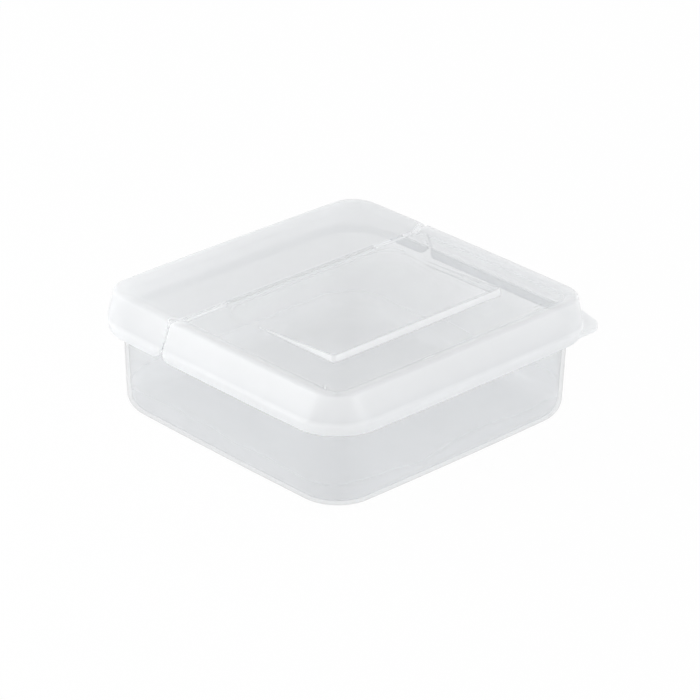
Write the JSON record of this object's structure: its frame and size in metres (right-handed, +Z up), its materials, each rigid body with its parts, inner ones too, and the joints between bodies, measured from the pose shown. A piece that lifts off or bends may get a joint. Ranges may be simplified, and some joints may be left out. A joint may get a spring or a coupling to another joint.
{
  "type": "sliced cheese container",
  "caption": "Shallow square food container in milky translucent plastic: a tray and a lid that grips its rim, split by a living hinge into a fixed strip and an opening flap.",
  "frame": {"origin": "centre of the tray's flat underside, which rests on the table", "axes": "+Z up, +Y towards the narrow fixed lid strip, the flap opens at -Y, +X towards the finger tab"},
  "size_m": [0.1105, 0.1038, 0.0381],
  "materials": {
    "tray_plastic": "natural polypropylene, milky translucent, faintly frosted",
    "lid_plastic": "natural polypropylene, milky translucent, glossy",
    "hinge_film": "same moulding thinned to a clear flexible film"
  },
  "bodies": {
    "tray": {"base_tray": "tray_plastic"},
    "lid": {"rear_lid_strip": "lid_plastic", "hinge_web": "hinge_film"},
    "flap": {"front_flap": "lid_plastic"}
  },
  "joints": [
    {"name": "lid_lift", "type": "slide", "parent": "tray", "child": "lid", "axis": [0, 0, 1], "range_m": [0, 0.04]},
    {"name": "flap_hinge", "type": "hinge", "parent": "lid", "child": "flap", "pos_m": [0, 0.0184, 0.0361], "axis": [-1, 0, 0], "range_deg": [0, 100], "deforming": ["hinge_web"]}
  ]
}
